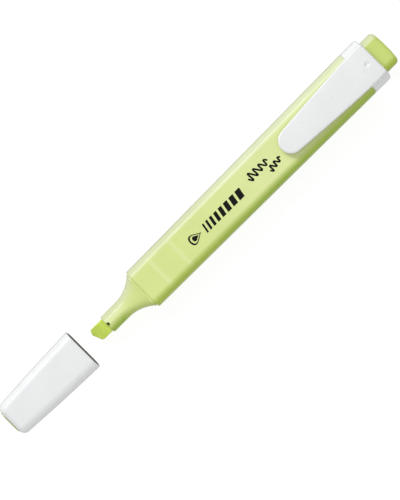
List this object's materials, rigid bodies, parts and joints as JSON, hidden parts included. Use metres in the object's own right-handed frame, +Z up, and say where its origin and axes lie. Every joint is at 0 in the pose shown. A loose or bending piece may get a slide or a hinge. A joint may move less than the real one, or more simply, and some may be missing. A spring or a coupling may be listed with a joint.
{
  "type": "highlighter",
  "caption": "Flat pocket highlighter: chisel felt nib, ink reservoir in a bulged rectangular barrel, sprung pocket clip and end plug, and a pull-off cap lying in line ahead of the nib.",
  "frame": {"origin": "on the surface that the pen lies on, under the middle of the overall length and width with the cap off", "axes": "+X along the pen from the end plug towards the nib and the cap, +Z up through the clip side, +Y completes the right-handed frame"},
  "size_m": [0.1614, 0.016, 0.0134],
  "materials": {
    "lime_plastic": "pastel lime moulded polypropylene, satin",
    "white_plastic": "white moulded polypropylene, satin",
    "inked_felt": "bonded polyester felt soaked with lime ink",
    "inked_fibre": "polyester fibre bundle soaked with lime ink",
    "clear_film": "clear polypropylene film"
  },
  "bodies": {
    "pen": {"barrel": "lime_plastic", "front_section": "lime_plastic", "writing_nib": "inked_felt", "ink_reservoir": "inked_fibre", "reservoir_film": "clear_film", "end_plug": "lime_plastic", "clip_collar": "white_plastic"},
    "clip": {"clip_arm": "white_plastic"},
    "cap": {"cap_shell": "white_plastic", "inner_cap": "lime_plastic"}
  },
  "joints": [
    {"name": "cap_slide", "type": "slide", "parent": "pen", "child": "cap", "axis": [-1, 0, 0], "range_m": [0, 0.0255]},
    {"name": "clip_flex", "type": "hinge", "parent": "pen", "child": "clip", "pos_m": [-0.0695, 0, 0.01265], "axis": [0, -1, 0], "range_deg": [0, 6], "stiffness_Nm_per_rad": 0.6}
  ]
}
